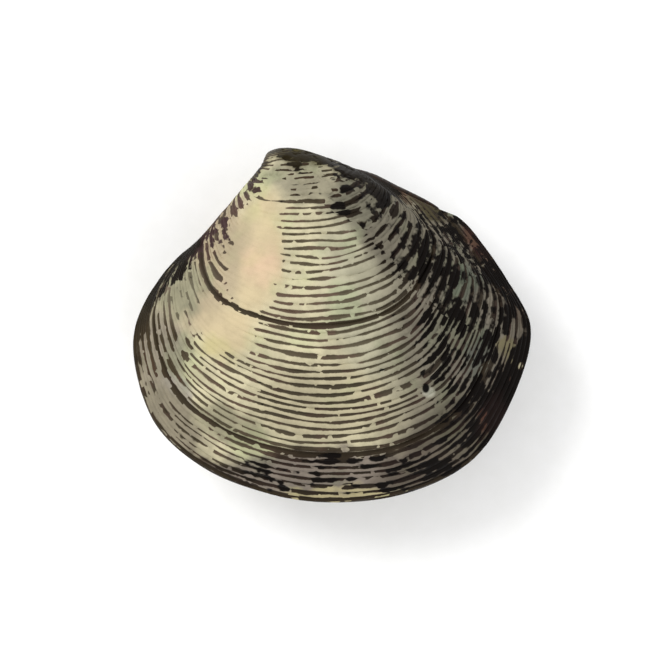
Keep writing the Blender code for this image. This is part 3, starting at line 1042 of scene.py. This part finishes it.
def ligamentHorn():
    material, tree, shader = newMaterial("ligamentHorn")
    spot = spotOn(tree)
    cloud = mottled(tree, spot, *hornFinish["mottle"])
    along = times(tree, attribute(tree, "lengthwise"), hornFinish["bands"])
    bands = noise(tree, joined(tree, along, 0.0, 0.0), 1.0)
    bands = ramp(tree, bands, *hornFinish["bandEdge"])
    colour = mixed(tree, cloud, hornFinish["dark"], hornFinish["light"])
    colour = mixed(tree, bands, colour, hornFinish["band"])
    rough = ramp(tree, cloud, 0.0, 1.0, *hornFinish["roughness"])
    dressed(tree, shader, spot, colour, rough, hornFinish)
    return material


def troughHeight(shellTree, foot, outward, halfWidth, halfHeight):
    # how far the ligament's middle stands off the seam to rest on both valves' shoulders
    needed = halfHeight
    steps = ligamentShape["contactSteps"]
    for k in range(steps):
        turn = math.pi / 2 * k / steps
        above = foot + Vector((0, 0, halfWidth * math.sin(turn)))
        hit = shellTree.ray_cast(above + outward * mm, -outward)[0]
        if hit:
            needed = max(needed, (hit - above).dot(outward) + halfHeight * math.cos(turn))
    return needed


def ligamentPath(shell):
    shape = ligamentShape
    bound = bmesh.new()
    bound.from_mesh(shell.data)
    shellTree = BVHTree.FromBMesh(bound)
    bound.free()
    back = [p * mm for p in marginLoop if p.x > 0 and p.y > marginPoints["frontShoulder"][1]]
    back.sort(key=lambda p: p.x)
    points = []
    radii = []
    for k in range(shape["stations"]):
        share = k / (shape["stations"] - 1)
        x = (shape["start"] + (shape["end"] - shape["start"]) * share) * mm
        ahead = next(i for i, p in enumerate(back) if p.x >= x)
        start, end = back[ahead - 1], back[ahead]
        foot = start.lerp(end, (x - start.x) / (end.x - start.x)).to_3d() + hingePoint
        along = (end - start).normalized()
        outward = Vector((-along.y, along.x, 0))
        fullness = math.sin(math.pi * share ** shape["swellPlace"]) ** shape["swellPower"]
        swell = shape["taper"] + (1 - shape["taper"]) * fullness
        width, height = (shape[side] * mm * swell for side in ("halfWidth", "halfHeight"))
        lift = troughHeight(shellTree, foot, outward, width, height)
        points.append(foot + outward * (lift - shape["sink"] * mm))
        radii.append(swell)
    return points, radii


def beadTree():
    tree, given = modifierTree("ligamentBead", {
        "Path": "Geometry",
        "Half Width": "Float",
        "Half Height": "Float",
        "Sides": "Int",
        "Striae": "Float",
        "Wrinkle": "Float",
        "Skin": "Material",
    })
    upright = place(tree, "GeometryNodeSetCurveNormal", {"Curve": given["Path"]}, mode="Z_UP").outputs[0]
    lengthwise = place(tree, "GeometryNodeSplineParameter").outputs["Factor"]
    path = stored(tree, upright, lengthwise=lengthwise)
    circle = {"Resolution": given["Sides"], "Radius": 1}
    ring = place(tree, "GeometryNodeCurvePrimitiveCircle", circle).outputs["Curve"]
    size = joined(tree, given["Half Height"], given["Half Width"], 1.0)
    oval = place(tree, "GeometryNodeTransform", {"Geometry": ring, "Scale": size}).outputs[0]
    radius = place(tree, "GeometryNodeInputRadius").outputs[0]
    sweep = {"Curve": path, "Profile Curve": oval, "Fill Caps": True, "Scale": radius}
    bead = place(tree, "GeometryNodeCurveToMesh", sweep).outputs[0]
    count = times(tree, named(tree, "lengthwise"), given["Striae"])
    wrinkles = noise(tree, joined(tree, count, 0.0, 0.0), 1.0, detail=3.0)
    offset = times(tree, swing(tree, wrinkles, 1.0), given["Wrinkle"])
    bead = moved(tree, bead, offset=scaled(tree, normalOf(tree), offset))
    finished(tree, welded(tree, bead), given["Skin"])
    return tree


def makeLigament(shell):
    points, radii = ligamentPath(shell)
    source = polyCurve("ligamentPath", points, False, radii)
    return meshFrom(source, beadTree(), {
        "Half Width": ligamentShape["halfWidth"] * mm,
        "Half Height": ligamentShape["halfHeight"] * mm,
        "Sides": ligamentShape["sides"],
        "Striae": ligamentShape["striae"],
        "Wrinkle": ligamentShape["wrinkle"] * mm,
        "Skin": ligamentHorn(),
    }, "ligamentBand", sharpAbove=60)


ligamentBand = makeLigament(leftShell)
print("ligament laid:", len(ligamentBand.data.polygons), "faces")


# Frame

for piece, node, slotName in (
    (leftShell, "left_valve", "shell"),
    (rightShell, "right_valve", "shell"),
    (ligamentBand, "ligament", "ligament"),
):
    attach(piece, "root")
    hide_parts(node)


# Studio

studio = {
    "floorSize": 3.0,  # metres
    "floorColour": paint(250, 250, 250, 1),
    "floorGrain": paint(246, 246, 245, 1),
    "floorMottle": (900.0, 60.0, 0.5),
    "floorRoughness": 0.9,
    "worldStrength": 0.86,
    "keyPlace": (-0.30, 0.26, 0.42),
    "keySize": 0.30,
    "keyPower": 1.85,
    "fillPlace": (0.25, -0.30, 0.50),
    "fillSize": 0.5,
    "fillPower": 1.0,
    "cameraHeight": 0.5,  # metres over the plane between the valves
    "sensor": 36.0,  # mm
    "imageSide": 660,  # pixels
    "shellLeft": 133,  # pixels of the photograph that the shell's box spans
    "shellRight": 531,
    "shellTop": 148,
    "shellBottom": 502,
}


def makeFloor():
    mesh = bmesh.new()
    bmesh.ops.create_grid(mesh, x_segments=2, y_segments=2, size=studio["floorSize"] / 2)
    data = bpy.data.meshes.new("floor")
    mesh.to_mesh(data)
    mesh.free()
    material, tree, shader = newMaterial("floorPaper")
    where = place(tree, "ShaderNodeTexCoord").outputs["Object"]
    grain = mottled(tree, where, *studio["floorMottle"])
    feed(tree, shader.inputs["Base Color"], mixed(tree, grain, studio["floorColour"], studio["floorGrain"]))
    shader.inputs["Roughness"].default_value = studio["floorRoughness"]
    data.materials.append(material)
    floor = linked("floor", data)
    floor.location.z = cadBounds[0].z
    floor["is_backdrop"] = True


def makeLamp(name):
    data = bpy.data.lights.new(name, "AREA")
    data.shape = "DISK"
    data.size = studio[name + "Size"]
    data.energy = studio[name + "Power"]
    lamp = linked(name, data)
    lamp.location = studio[name + "Place"]
    lamp.rotation_euler = (-lamp.location).to_track_quat("-Z", "Y").to_euler()


def makeCamera():
    low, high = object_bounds()
    span = (high.x - low.x) * studio["imageSide"] / (studio["shellRight"] - studio["shellLeft"])
    data = bpy.data.cameras.new("camera")
    data.sensor_width = studio["sensor"]
    data.lens = studio["sensor"] * studio["cameraHeight"] / span
    data.clip_start = 0.01
    pixel = span / studio["imageSide"]
    half = studio["imageSide"] / 2
    aside = half - (studio["shellLeft"] + studio["shellRight"]) / 2
    below = (studio["shellTop"] + studio["shellBottom"]) / 2 - half
    camera = linked("camera", data)
    camera.location = (
        (low.x + high.x) / 2 + aside * pixel,
        (low.y + high.y) / 2 + below * pixel,
        hingePoint.z + studio["cameraHeight"],
    )
    bpy.context.scene.camera = camera


def makeWorld():
    world = bpy.data.worlds.new("studio")
    world.use_nodes = True
    background = world.node_tree.nodes["Background"]
    background.inputs["Color"].default_value = (1, 1, 1, 1)
    background.inputs["Strength"].default_value = studio["worldStrength"]
    bpy.context.scene.world = world
    bpy.context.scene.view_settings.view_transform = "Standard"


makeFloor()
makeLamp("key")
makeLamp("fill")
makeCamera()
makeWorld()
print("studio set")
